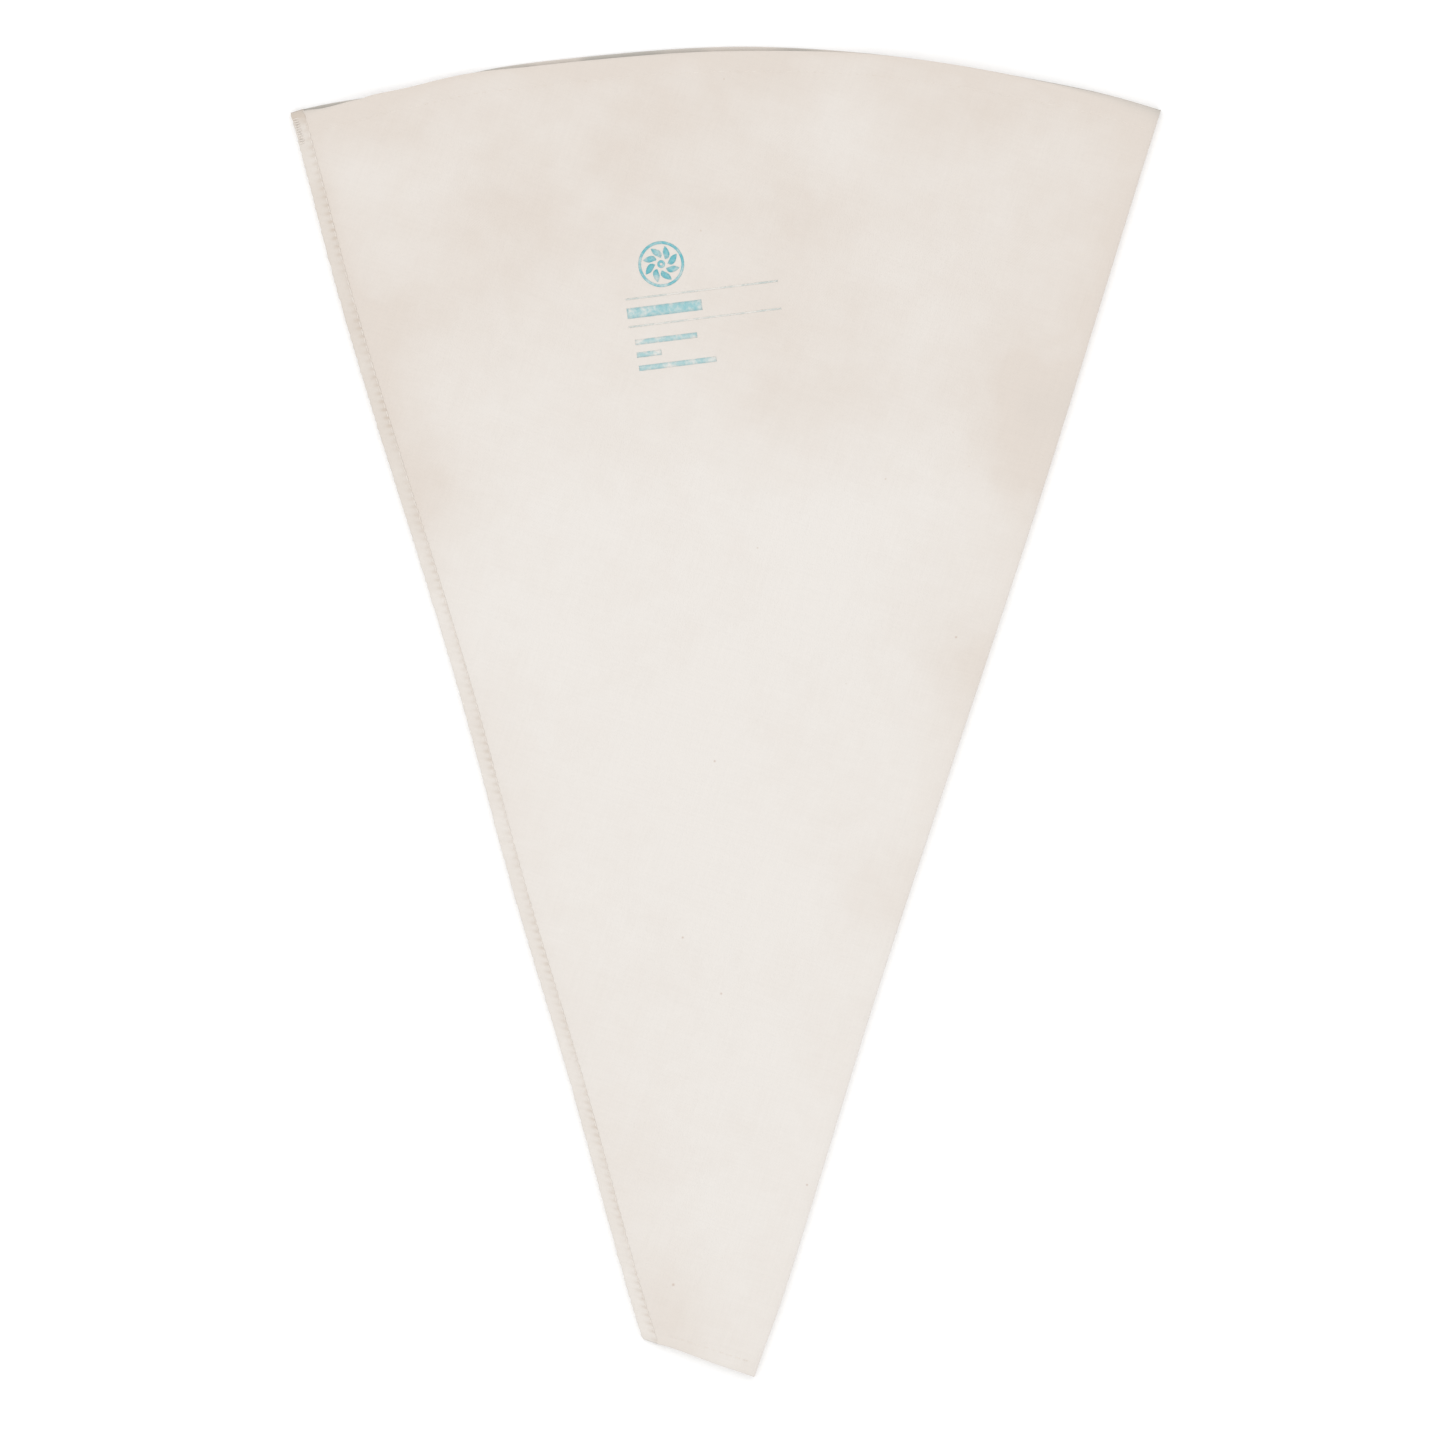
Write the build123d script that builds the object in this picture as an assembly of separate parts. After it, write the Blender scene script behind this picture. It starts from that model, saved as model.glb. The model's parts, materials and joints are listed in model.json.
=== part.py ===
from build123d import *

import os
from math import atan2, cos, degrees, radians, sin

# A flat canvas piping bag, lying with its back panel down and its mouth towards +Y. The cloth is
# one sector of a cone, folded along the right side and sewn shut along the left side. It is split
# into rigid quarters at the two centre creases, so that the mouth can open about the sewn side.
# Plan positions are set out from the cone's point, with +Y up the centre crease, and every node is
# moved at the end to put the origin at the bottom centre of the whole bag.

# Outline, in millimetres and degrees.
HALF_ANGLE = 16.96          # centre crease to either side, laid flat
FOLD_LENGTH = 406.4         # folded side, tip corner to mouth corner
TIP_FOLD_RADIUS = 45.4      # cone's point to the tip corner on the fold
TIP_TILT = 18.7             # the tip's cut, turned from square to the crease
MOUTH_CENTRE = (5.3, 9.7)   # centre of the mouth's arc
SEAM_WIDTH = 4.3            # sewn side's edge to its row of stitches

# Cloth layers, from the back's outer face upwards.
CLOTH = 0.5                 # one ply of canvas
GAP = 1.8                   # air between the turned hems
MOUTH_HEM = 8.0             # width of the turned mouth hem
TIP_HEM = 6.0               # width of the turned tip hem
BACK_IN = CLOTH
BACK_HEM = 2 * CLOTH
FRONT_HEM = BACK_HEM + GAP
FRONT_IN = FRONT_HEM + CLOTH
FRONT_OUT = FRONT_IN + CLOTH
MID = FRONT_OUT / 2         # height of the seam's hinge line

# Room for the motion.
CREASE_ROOM = 0.05          # each quarter stops this far short of the crease
HINGE_ROOM = 2.4            # front panel to the row of stitches, so that it clears the seam's edge

# Sewing thread, one small bar for each stitch that shows.
STITCH = (1.9, 0.4, 0.2)    # length, width and height
PITCH = 2.6
SEAM_ROW = -0.3             # the seam's stitches lie this far from the hinge line
MOUTH_ROW = 6.5             # mouth edge to its stitches
TIP_ROW = 4.3               # tip edge to its stitches
ROW_MARGIN = 3.0            # a row stops this far from the sides
TACK = (2.6, 8.0, 0.3)      # bar of thread that locks the seam at the mouth
TACK_EDGE = 1.6             # seam's outer edge to the middle of the tack

# Printed mark on the front: two rules, a round motif and plain bars.
MARK_CENTRE = (-8.1, 375.8)  # middle of the upper rule
MARK_TILT = 7.9
INK = 0.1
RULE = (47.0, 0.5)
RULE_STEP = -8.5            # lower rule, from the upper one
MOTIF = (-11.2, 9.4, 7.0)   # place and radius
BARS = [                    # place, then width and height
    (-11.9, -4.4, 23.0, 3.2),
    (-12.5, -13.4, 19.0, 1.6),
    (-18.2, -17.3, 7.6, 1.6),
    (-9.9, -21.4, 23.8, 1.6),
]


def heading(angle):
    """Unit vector, turned angle degrees from +Y towards +X."""
    return Vector(sin(radians(angle)), cos(radians(angle)))


def ray(angle, inset=0.0, start=Vector(0, 0)):
    """A point and a direction: a line through start, moved inset to the right of its heading."""
    along = heading(angle)
    return start + Vector(along.Y, -along.X) * inset, along


def meet(first, second):
    """The point where two rays cross."""
    (p, u), (q, v) = first, second
    gap = q - p
    return p + u * ((gap.X * v.Y - gap.Y * v.X) / (u.X * v.Y - u.Y * v.X))


def seam_line(inset):
    """The sewn side's row of stitches, moved inset towards the crease."""
    return ray(-HALF_ANGLE, inset)


def fold_line(inset):
    """The folded side, moved inset towards the crease."""
    return ray(HALF_ANGLE, -inset)


def tip_line(inset):
    """The tip's cut, moved inset towards the mouth."""
    corner = heading(HALF_ANGLE) * TIP_FOLD_RADIUS
    return ray(TIP_TILT - 90, inset, corner)


mouth_centre = Vector(*MOUTH_CENTRE)
fold_corner = heading(HALF_ANGLE) * (TIP_FOLD_RADIUS + FOLD_LENGTH)
mouth_radius = (fold_corner - mouth_centre).length
crease_left = ray(0, -CREASE_ROOM)
crease_right = ray(0, CREASE_ROOM)


def mouth_disc(inset=0.0):
    return Pos(mouth_centre.X, mouth_centre.Y) * Circle(mouth_radius - inset)


def meet_mouth(line, inset):
    """The point where a ray crosses the mouth's arc, moved inset into the bag."""
    point, along = line
    offset = point - mouth_centre
    half = offset.dot(along)
    radius = mouth_radius - inset
    return point + along * (-half + (half**2 - offset.length**2 + radius**2) ** 0.5)


def wedge(left, right):
    """Everything between two rays, from the tip's cut to past the mouth."""
    beyond = ray(90, 0, Vector(0, 2 * mouth_radius))
    corners = [
        meet(left, tip_line(0)),
        meet(right, tip_line(0)),
        meet(right, beyond),
        meet(left, beyond),
    ]
    return make_face(Polyline(*corners, close=True))


def panel(left, right):
    return wedge(left, right) & mouth_disc()


def mouth_band(left, right):
    return wedge(left, right) & (mouth_disc() - mouth_disc(MOUTH_HEM))


def tip_band(left, right):
    corners = [
        meet(left, tip_line(0)),
        meet(right, tip_line(0)),
        meet(right, tip_line(TIP_HEM)),
        meet(left, tip_line(TIP_HEM)),
    ]
    return make_face(Polyline(*corners, close=True))


def layer(face, low, high):
    """A flat piece of cloth between two heights."""
    return extrude(Pos(0, 0, low) * face, high - low)


def thread(places, low):
    """One bar of thread at each place, which is a point and a heading."""
    length, width, height = STITCH
    bar = Box(length, width, height, align=(Align.CENTER, Align.CENTER, Align.MIN))
    return Compound(children=[Pos(p.X, p.Y, low) * Rot(0, 0, turn) * bar for p, turn in places])


def straight_row(start, end):
    """Stitch places from start to end, evenly spaced near PITCH."""
    run = end - start
    count = round(run.length / PITCH)
    turn = degrees(atan2(run.Y, run.X))
    return [(start + run * ((i + 0.5) / count), turn) for i in range(count)]


def mouth_row(left, right):
    """Stitch places along the mouth's hem, between two rays."""
    radius = mouth_radius - MOUTH_ROW
    ends = [meet_mouth(line, MOUTH_ROW) - mouth_centre for line in (left, right)]
    start, end = [degrees(atan2(offset.X, offset.Y)) for offset in ends]
    count = round(radians(end - start) * radius / PITCH)
    turns = [start + (end - start) * (i + 0.5) / count for i in range(count)]
    return [(mouth_centre + heading(turn) * radius, -turn) for turn in turns]


def tip_row(left, right):
    """Stitch places along the tip's hem, between two rays."""
    row = tip_line(TIP_ROW)
    return straight_row(meet(left, row), meet(right, row))


def printed_mark():
    """The flat shapes of the printed mark, in the bag's plan."""
    shapes = [Rectangle(*RULE), Pos(0, RULE_STEP) * Rectangle(*RULE)]
    shapes += [Pos(x, y) * Rectangle(w, h) for x, y, w, h in BARS]
    x, y, radius = MOTIF
    shapes.append(Pos(x, y) * (Circle(radius) - Circle(radius - 1) + Circle(radius / 2)))
    placed = Pos(*MARK_CENTRE) * Rot(0, 0, MARK_TILT)
    return [placed * shape for shape in shapes]


def mark_half(side):
    """The part of the mark on one side of the crease, -1 left or 1 right."""
    width = RULE[0]
    half = Pos(side * (width + CREASE_ROOM), MARK_CENTRE[1]) * Rectangle(2 * width, 2 * width)
    pieces = []
    for shape in printed_mark():
        for face in (shape & half).faces():
            pieces.append(extrude(Pos(0, 0, FRONT_OUT) * face, INK, dir=(0, 0, 1)))
    return Compound(children=pieces)


def quarter(name, left, right, low, hem_low):
    """One quarter of the bag: its panel, and its mouth and tip hems on the inner side."""
    return {
        f"{name}_panel": layer(panel(left[0], right[0]), low, low + CLOTH),
        f"mouth_hem_{name}": layer(mouth_band(left[1], right[1]), hem_low, hem_low + CLOTH),
        f"tip_hem_{name}": layer(tip_band(left[1], right[1]), hem_low, hem_low + CLOTH),
    }


def hem_threads(side, left, right, low):
    """The stitches of one quarter's mouth and tip hems."""
    return {
        f"mouth_thread_{side}": thread(mouth_row(left, right), low),
        f"tip_thread_{side}": thread(tip_row(left, right), low),
    }


def build_quarters():
    edge = seam_line(-SEAM_WIDTH)
    front_start = seam_line(HINGE_ROOM)
    back_start = seam_line(0)
    fold, fold_inner = fold_line(0), fold_line(CLOTH)
    sets = [
        ("front_left", (front_start, front_start), (crease_left, crease_left), True),
        ("front_right", (crease_right, crease_right), (fold, fold_inner), True),
        ("back_left", (edge, back_start), (crease_left, crease_left), False),
        ("back_right", (crease_right, crease_right), (fold, fold_inner), False),
    ]
    nodes = {}
    for name, left, right, is_front in sets:
        low, hem_low = (FRONT_IN, FRONT_HEM) if is_front else (0, BACK_IN)
        nodes |= quarter(name, left, right, low, hem_low)
    for side, hem_low in (("front", FRONT_HEM), ("back", BACK_IN)):
        nodes[f"side_fold_{side}"] = layer(panel(fold_inner, fold), hem_low, hem_low + CLOTH)
    return nodes


def build_seam():
    """The sewn side: the front's edge strip over the two turned-in allowances, and its thread."""
    strip = panel(seam_line(-SEAM_WIDTH), seam_line(0))
    row = seam_line(SEAM_ROW)
    places = straight_row(meet(row, tip_line(ROW_MARGIN / 2)), meet_mouth(row, ROW_MARGIN))
    tack_place = meet_mouth(seam_line(TACK_EDGE - SEAM_WIDTH), TACK[1] / 2 + 1)
    tack = Box(*TACK, align=(Align.CENTER, Align.CENTER, Align.MIN))
    return {
        "seam_edge_front": layer(strip, FRONT_IN, FRONT_OUT),
        "seam_allowance_back": layer(strip, BACK_IN, MID),
        "seam_allowance_front": layer(strip, MID, FRONT_IN),
        "seam_thread_top": thread(places, FRONT_OUT),
        "seam_thread_under": thread(places, 0),
        "seam_backtack": Pos(tack_place.X, tack_place.Y, FRONT_OUT) * Rot(0, 0, HALF_ANGLE) * tack,
    }


def build_threads():
    seam_side, fold_side = seam_line(ROW_MARGIN), fold_line(ROW_MARGIN)
    nodes = {}
    for face, low in (("front", FRONT_OUT), ("back", 0)):
        nodes |= hem_threads(f"{face}_left", seam_side, ray(0, -STITCH[0]), low)
        nodes |= hem_threads(f"{face}_right", ray(0, STITCH[0]), fold_side, low)
    return nodes


def build_mark():
    return {"printed_mark_left": mark_half(-1), "printed_mark_right": mark_half(1)}


nodes = build_quarters() | build_seam() | build_threads() | build_mark()
box = nodes["back_left_panel"].bounding_box()
for shape in nodes.values():
    box = box.add(shape.bounding_box())
middle = (box.min + box.max) / 2
to_origin = Pos(-middle.X, -middle.Y, 0)

os.makedirs("parts", exist_ok=True)
for name, shape in nodes.items():
    export_step(to_origin * shape, f"parts/{name}.step")
print("cone's point in the row frame", -middle.X, -middle.Y)
print("mouth radius", mouth_radius, "size", box.size)
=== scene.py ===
"""Looks of a flat canvas piping bag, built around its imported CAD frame.

Every shape is worked out in millimetres in the cone frame: its origin is the point where the bag's
two sides would meet, +Y runs up the centre crease and +X runs towards the folded side. A place on
the cloth is a turn from the crease and a distance from the cone's point. to_row() turns the
finished points into the frame's metres.
"""

import json
import math

import bpy
import numpy as np
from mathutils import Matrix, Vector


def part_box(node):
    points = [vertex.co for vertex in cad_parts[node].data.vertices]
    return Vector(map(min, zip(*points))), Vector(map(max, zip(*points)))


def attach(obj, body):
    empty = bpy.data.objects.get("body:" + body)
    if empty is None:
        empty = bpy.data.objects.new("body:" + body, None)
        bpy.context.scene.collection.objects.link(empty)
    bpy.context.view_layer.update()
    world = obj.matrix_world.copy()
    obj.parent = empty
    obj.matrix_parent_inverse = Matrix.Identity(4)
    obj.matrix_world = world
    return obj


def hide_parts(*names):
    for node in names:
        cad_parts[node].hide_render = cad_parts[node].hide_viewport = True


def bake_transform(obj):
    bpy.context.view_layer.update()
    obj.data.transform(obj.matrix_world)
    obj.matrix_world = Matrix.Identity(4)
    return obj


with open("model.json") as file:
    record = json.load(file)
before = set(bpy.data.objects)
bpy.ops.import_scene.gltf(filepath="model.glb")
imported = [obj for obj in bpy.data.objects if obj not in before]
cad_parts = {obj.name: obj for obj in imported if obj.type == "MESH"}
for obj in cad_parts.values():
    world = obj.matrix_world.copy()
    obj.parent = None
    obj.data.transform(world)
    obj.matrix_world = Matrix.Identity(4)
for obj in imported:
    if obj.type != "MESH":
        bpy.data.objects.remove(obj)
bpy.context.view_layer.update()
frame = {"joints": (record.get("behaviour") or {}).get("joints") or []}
MM = 0.001

# ---------------------------------------------------------------- sizes read from the frame
JOINTS = {joint["name"]: joint for joint in frame["joints"]}
HINGE = JOINTS["seam_hinge"]
CONE_X, CONE_Y, MID = [value / MM for value in HINGE["pos_m"]]
HALF = math.asin(HINGE["axis"][0])                # centre crease to either side, flat
FRONT_LOW, FRONT_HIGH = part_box("front_right_panel")
FRONT_OUT = FRONT_HIGH.z / MM                     # front panel's outer face

# ---------------------------------------------------------------- outline
MOUTH_CENTRE = np.array([5.3, 9.7])               # centre of the mouth's arc
MOUTH_ARC = FRONT_HIGH.y / MM - CONE_Y - MOUTH_CENTRE[1]
TIP_TILT = math.radians(18.7)                     # the tip's cut, turned from square to the crease
TIP_FOLD_RADIUS = (FRONT_LOW.y / MM - CONE_Y) / math.cos(HALF)
SEAM_EDGE = 4.3                                   # hinge line to the seam's outer edge

# How far the cloth's edges bend outward from the CAD outline, in mm. Each is a few listed places where
# the edge bulges or dips: the sides by distance from the cone's point.
SEAM_WANDER = [(45, 0.0), (75, 0.5), (140, -0.3), (200, 0.2), (265, -0.9), (385, 0.9), (450, -0.5)]
FOLD_WANDER = [(45, -0.5), (75, 0.3), (170, -0.7), (330, 0.6), (450, -0.4)]
# The back's mouth edge, and how much of the back the front leaves bare, by place across the mouth.
BACK_MOUTH = [(-134, 0.5), (-100, -2.1), (-70, -0.7), (-45, -0.9), (10, 0.1), (85, 0.0), (120, 0.9)]
BARE_BACK = [
    (-134, 0.3), (-125, 1.3), (-114, 0.4), (-108, -0.5), (-92, -0.5), (-60, 1.3), (0, 1.5), (50, 0.3),
    (134, 0.5),
]
# The tip's cut, by place across the tip.
TIP_WANDER = [(-21, 0.3), (-12, -0.4), (0, -0.2), (13, -0.4)]
WANDER_FADE = 30.0                                # how far in from an edge its wandering dies away

# ---------------------------------------------------------------- cloth
PLY = 0.5
MOUTH_HEM, TIP_HEM = 8.0, 6.0
HEM_STEP = 0.4                                    # width of the step at a hem's raw edge
SEAM_RISE = 3.4                                   # hinge line to the front's full height
CURL = 0.7                                        # width over which the fold rounds over
TUCK = 0.4                                        # the front's edge, tucked into the seam
SEAM_PLIES = 1.3                                  # half the pressed thickness of the sewn side
ROW_PLIES = 1.24                                  # the same at the row of stitches
GROOVE = 1.4                                      # width of the stitched groove in the sewn side
PUCKER = 0.13                                     # height of the puckers at the stitches
FOLD_SHELL = 0.14                                 # cloth left on each canvas at the fold's nose
SHELL_GROWTH = 2.5                                # width over which it thickens to a full ply
LIP_THICK = 0.13                                  # each of the two lips inside the fold
LIP_DEPTH = {"front": 0.17, "back": 0.34}         # each lip, below the fold's outer face
# How far each lip reaches past the fold's middle: at the cone's point, and more for each mm from it,
# because the two halves of the fold part by that share of the distance as the bag opens.
LIP_REACH = {"front": (0.2, 0.00255), "back": (0.5, 0.00215)}
CLOTH_ROWS, CLOTH_COLUMNS = 200, 90               # each canvas's grid, between its finely divided edges
SETTLING = 12                                     # passes that place the grid's columns
LIP_ROWS, SEAM_ROWS = 160, 900
SEAM_TAPER = 2.5                                  # rows over which the sewn side's ends are rounded

# ---------------------------------------------------------------- relief of the front's outer face
ROW_CALM, FOLD_CALM = 25, 14                      # the waves die away within this of each side
FRONT_DROP = 0.3                                  # how far the front falls, inward from the fold
TROUGH = (0.16, 1.6)                              # hollow behind the mouth's hem: depth and width
MOUTH_PULL = (0.05, 0.7)                          # dent along the mouth's stitches
TIP_PINCH = (0.2, 0.8)                            # dent along the tip's stitches
TUCKS = (0.16, 2.2)                               # unevenness beside the seam: height and reach
SWELLS = [                                        # wavelength, heading in degrees, height, phase
    (150, 20, 0.35, 0.4), (96, 75, 0.22, 2.1), (118, -40, 0.25, 4.0), (61, 105, 0.1, 1.2),
    (74, -15, 0.12, 5.3), (43, 60, 0.05, 3.1),
]

# ---------------------------------------------------------------- wear, stains and painted shade
# Strengths are shares of the stained colour, which also carries painted shade along the edges. Above 1.2
# the cloth turns grey: painted shadow at the back's mouth edge, grime elsewhere.
UPPER_DARKENING = 0.42                                 # darker all over the upper part
UPPER_START, UPPER_FULL = 290, 375                # distances from the cone's point
EDGE_SHADE = [                                     # painted shade along each edge: edge, reach, strength, its gain and where it gains
    ("row", 10, 0.25, 0.3, (270, 340)),
    ("fold", 15, 0.15, 0.35, (160, 250)),         # painted shade along the fold, and wear where hands squeeze the bag
    ("mouth", 16, 0.3, 0.0, (0, 1)),
    ("mouth", 1.2, 0.45, 0.0, (0, 1)),
    ("tip", 9, 0.3, 0.0, (0, 1)),
]
RIGHT_SHADE, RIGHT_REACH = 0.5, 2.6                # painted shade along the mouth's edge, more at its right-hand part
RIGHT_START, RIGHT_FULL = 75, 120                 # places across the mouth
MOUTH_GAP_SHADE, GAP_SHADE_WIDTH = 2.0, 3.0               # painted shadow on the back's mouth edge, where it shows past the front
GAP_SHADE_LOSS, LOSS_START, LOSS_FULL = 0.5, 10, 50   # and how the painted shadow lessens across the mouth
# The sewn side: all over, painted shade in its groove, on its upper part, at the mouth's corner, and
# painted shade at the needle holes.
SEAM_TONE = {"all": 0.16, "groove_shade": 0.08, "upper": 0.3, "corner": 1.0, "hole_shade": 0.6}
SOFT_SPOTS = [                                    # stains on the front: x, y, radius, strength
    (93, 344, 13, 0.75), (89, 326, 9, 0.4), (111, 386, 12, 0.15), (121, 425, 14, 0.2), (74, 262, 9, 0.3),
    (50, 190, 9, 0.25), (-105, 358, 12, 0.3), (-94, 317, 9, 0.5), (-73, 394, 20, 0.25),
    (-62, 214, 9, 0.2), (-37, 397, 16, 0.15), (-14, 68, 10, 0.4), (-27, 108, 8, 0.15),
    (17, 353, 18, 0.4), (26, 398, 12, 0.3), (70, 438, 14, 0.3), (-108, 424, 10, 0.3),
    (-30, 430, 26, 0.25), (4, 436, 30, 0.2), (-112, 407, 8, -0.3), (32, 421, 14, -0.25),
]
SPECKS = [                                        # x, y and radius of small flecks in the yarn
    (-2, 232, 0.4), (-11, 178, 0.4), (1, 161, 0.4), (71, 271, 0.4), (-12, 72, 0.5), (28, 103, 0.4),
]

# ---------------------------------------------------------------- thread and ink
PITCH = 2.6
SEAM_STITCH = (2.15, 0.17, 0.06)                  # length, thread radius and arch
HEM_STITCH = (1.9, 0.11, 0.0)
TACK_STITCH = (1.85, 0.17, 0.08)
TACK_COUNT = 11                                   # stitches in the bar across the seam at the mouth
TACK_OUT = 3.05                                   # the bar's middle, outward from the hinge line
TACK_START, TACK_STEP = 0.994, 0.0019             # its first stitch and spacing, as shares of the seam
STITCH_TURN, STITCH_STRETCH = 0.06, 0.05          # how uneven the stitches are, in radians and as a share
SEAM_ROW = 0.35                                   # row of stitches, outward from the hinge line
MOUTH_ROW, TIP_ROW = 6.5, 4.3
ROW_MARGIN = 3.0
MARK_CENTRE = np.array([-8.1, 375.8])             # middle of the upper rule
MARK_TILT = math.radians(7.9)
INK_OVER, INK_DEEP = 0.07, 0.05                   # ink above the cloth, and let into it
RULES = [(0.0, 0.0, 47.0, 0.5), (0.0, -8.5, 47.0, 0.5)]
TITLE_BAR = (-11.9, -4.4, 23.0, 3.2)
SMALL_BARS = [(-12.5, -13.4, 19.0, 1.6), (-18.2, -17.3, 7.6, 1.6), (-9.9, -21.4, 23.8, 1.6)]
FADED = {"rule": 0.58, "rosette": 0.0, "title": 0.25, "small": 0.4}     # 0 is full ink and 1 is none
RULE_WEAR = (0.16, 2, 10)                         # the rules' paler middle: strength, place and width
ROSETTE = (-11.2, 9.4, 7.0)                       # place and radius


# ================================================================ curves and the cloth's surface
def smooth(t):
    t = np.clip(t, 0, 1)
    return t * t * (3 - 2 * t)


def ramp(at, start, end):
    """0 before the start and 1 after the end, with a smooth rise between them."""
    return smooth((at - start) / (end - start))


def bell(at, width):
    """1 in the middle of a bump or a dent, dying away over its width."""
    return np.exp(-((at / width) ** 2))


def fading(inward, reach):
    """1 at an edge, dying away over a reach inward."""
    return np.exp(-np.clip(inward, 0, None) / reach)


def ripple(distance):
    """Turn in radians, one round for each stitch."""
    return 2 * math.pi * distance / PITCH


def eased(points, at):
    """A smooth curve through a few (place, value) points, level at each of them."""
    places, values = np.array(points, float).T
    at = np.clip(at, places[0], places[-1])
    after = np.clip(np.searchsorted(places, at), 1, len(places) - 1)
    t = (at - places[after - 1]) / (places[after] - places[after - 1])
    return values[after - 1] + (values[after] - values[after - 1]) * smooth(t)


def heading(turn):
    """Unit vector, turned from +Y towards +X."""
    return np.stack([np.sin(turn), np.cos(turn)], -1)


def tip_distance(turn):
    """Cone's point to the tip's cut."""
    return TIP_FOLD_RADIUS * math.cos(HALF - TIP_TILT) / np.cos(turn - TIP_TILT)


def mouth_distance(turn):
    """Cone's point to the mouth's arc."""
    along = heading(turn) @ MOUTH_CENTRE
    return along + np.sqrt(along**2 - MOUTH_CENTRE @ MOUTH_CENTRE + MOUTH_ARC**2)


def swell(x, y):
    """The cloth's long, low waves."""
    total = 0.0
    for length, direction, height, phase in SWELLS:
        along = x * math.sin(math.radians(direction)) + y * math.cos(math.radians(direction))
        total = total + height * np.sin(2 * math.pi * along / length + phase)
    return total


def to_sides(turn, distance):
    """How far a place is from the seam's hinge line and from the fold, round the cone's point."""
    return distance * (turn + HALF), distance * (HALF - turn)


def plan(side, turn, distance):
    """Plan position on the front or the back, with the wandering of the bag's edges."""
    from_row, from_fold = to_sides(turn, distance)
    xy = heading(turn) * distance[..., None]
    out_left = eased(SEAM_WANDER, distance) * (1 - smooth(from_row / WANDER_FADE))
    out_right = eased(FOLD_WANDER, distance) * (1 - smooth(from_fold / WANDER_FADE))
    edge = eased(BACK_MOUTH, xy[..., 0])
    if side == "front":
        edge = edge - eased(BARE_BACK, xy[..., 0])
    out_mouth = edge * (1 - smooth((mouth_distance(turn) - distance) / WANDER_FADE))
    out_tip = eased(TIP_WANDER, xy[..., 0]) * (1 - smooth((distance - tip_distance(turn)) / TIP_HEM))
    shift = out_left[..., None] * np.array([-math.cos(HALF), -math.sin(HALF)])
    shift = shift + out_right[..., None] * np.array([math.cos(HALF), -math.sin(HALF)])
    shift = shift - out_tip[..., None] * heading(TIP_TILT)
    return xy + shift + out_mouth[..., None] * heading(turn)


def outer_height(side, turn, distance):
    """Height of the cloth's outer face."""
    from_row, from_fold = to_sides(turn, distance)
    rounding = np.sqrt(np.clip(1 - (1 - np.clip(from_fold / CURL, 0, 1)) ** 2, 0, 1))
    if side == "back":
        return MID * (1 - rounding)
    x, y = distance * np.sin(turn), distance * np.cos(turn)
    waves = swell(x, y) * (smooth(from_row / ROW_CALM) * smooth(from_fold / FOLD_CALM))
    below_mouth = mouth_distance(turn) - distance
    above_tip = distance - tip_distance(turn)
    trough = TROUGH[0] * bell(below_mouth - MOUTH_HEM, TROUGH[1]) * (0.6 + 0.4 * np.sin(x / 17))
    pull = MOUTH_PULL[0] * bell(below_mouth - MOUTH_ROW, MOUTH_PULL[1])
    pinch = TIP_PINCH[0] * bell(above_tip - TIP_ROW, TIP_PINCH[1]) * (0.7 + 0.3 * np.sin(ripple(from_row)))
    tucks = TUCKS[0] * np.sin(ripple(distance)) * np.sin(distance / 7.3) * np.exp(-from_row / TUCKS[1])
    height = FRONT_OUT - FRONT_DROP * smooth(from_fold / FOLD_CALM) + waves - trough - pull - pinch + tucks
    at_row = MID + ROW_PLIES
    height = at_row + (height - at_row) * smooth(from_row / SEAM_RISE)
    return MID + (height - MID) * rounding


def surface(side, turn, distance):
    height = outer_height(side, turn, distance)
    return np.concatenate([plan(side, turn, distance), height[..., None]], -1)


def outward(side, turn, distance):
    """Unit normal of the outer face, from small steps along and across the cloth."""
    step = 0.03
    lean = step / distance
    across = surface(side, turn + lean, distance) - surface(side, turn - lean, distance)
    along = surface(side, turn, distance + step) - surface(side, turn, distance - step)
    normal = np.cross(across, along)
    normal = normal / np.linalg.norm(normal, axis=-1, keepdims=True)
    return normal if side == "front" else -normal


def cloth_point(side, turn, distance, depth=0.0):
    """A point at some depth below the outer face, or above it where depth is negative."""
    turn, distance = np.broadcast_arrays(np.asarray(turn, float), np.asarray(distance, float))
    depth = np.broadcast_to(np.asarray(depth, float), turn.shape)
    return surface(side, turn, distance) - outward(side, turn, distance) * depth[..., None]


# ================================================================ meshes
def to_row(points):
    return (np.asarray(points, float).reshape(-1, 3) + [CONE_X, CONE_Y, 0]) * MM


def weave_uv(flat):
    """Cloth coordinates in metres, with the yarns running along and across the fold."""
    x, y = np.asarray(flat, float).reshape(-1, 2).T
    across = x * math.cos(HALF) - y * math.sin(HALF)
    along = x * math.sin(HALF) + y * math.cos(HALF)
    return np.stack([across, along], 1) * MM


def make_piece(name, points, faces, material, flat=None, tone=None):
    """A smooth mesh piece. flat is each point's plan position on the cloth, tone its stains and painted
    shade.
    """
    mesh = bpy.data.meshes.new(name)
    mesh.from_pydata(to_row(points).tolist(), [], faces)
    mesh.validate()
    mesh.polygons.foreach_set("use_smooth", [True] * len(mesh.polygons))
    if flat is not None:
        corner = np.zeros(len(mesh.loops), int)
        mesh.loops.foreach_get("vertex_index", corner)
        layer = mesh.uv_layers.new(name="cloth")
        layer.data.foreach_set("uv", weave_uv(flat)[corner].ravel())
    if tone is not None:
        attribute = mesh.attributes.new("tone", "FLOAT", "POINT")
        attribute.data.foreach_set("value", np.asarray(tone, np.float32).ravel())
    mesh.materials.append(material)
    mesh.update()
    piece = bpy.data.objects.new(name, mesh)
    bpy.context.scene.collection.objects.link(piece)
    return piece


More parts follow.
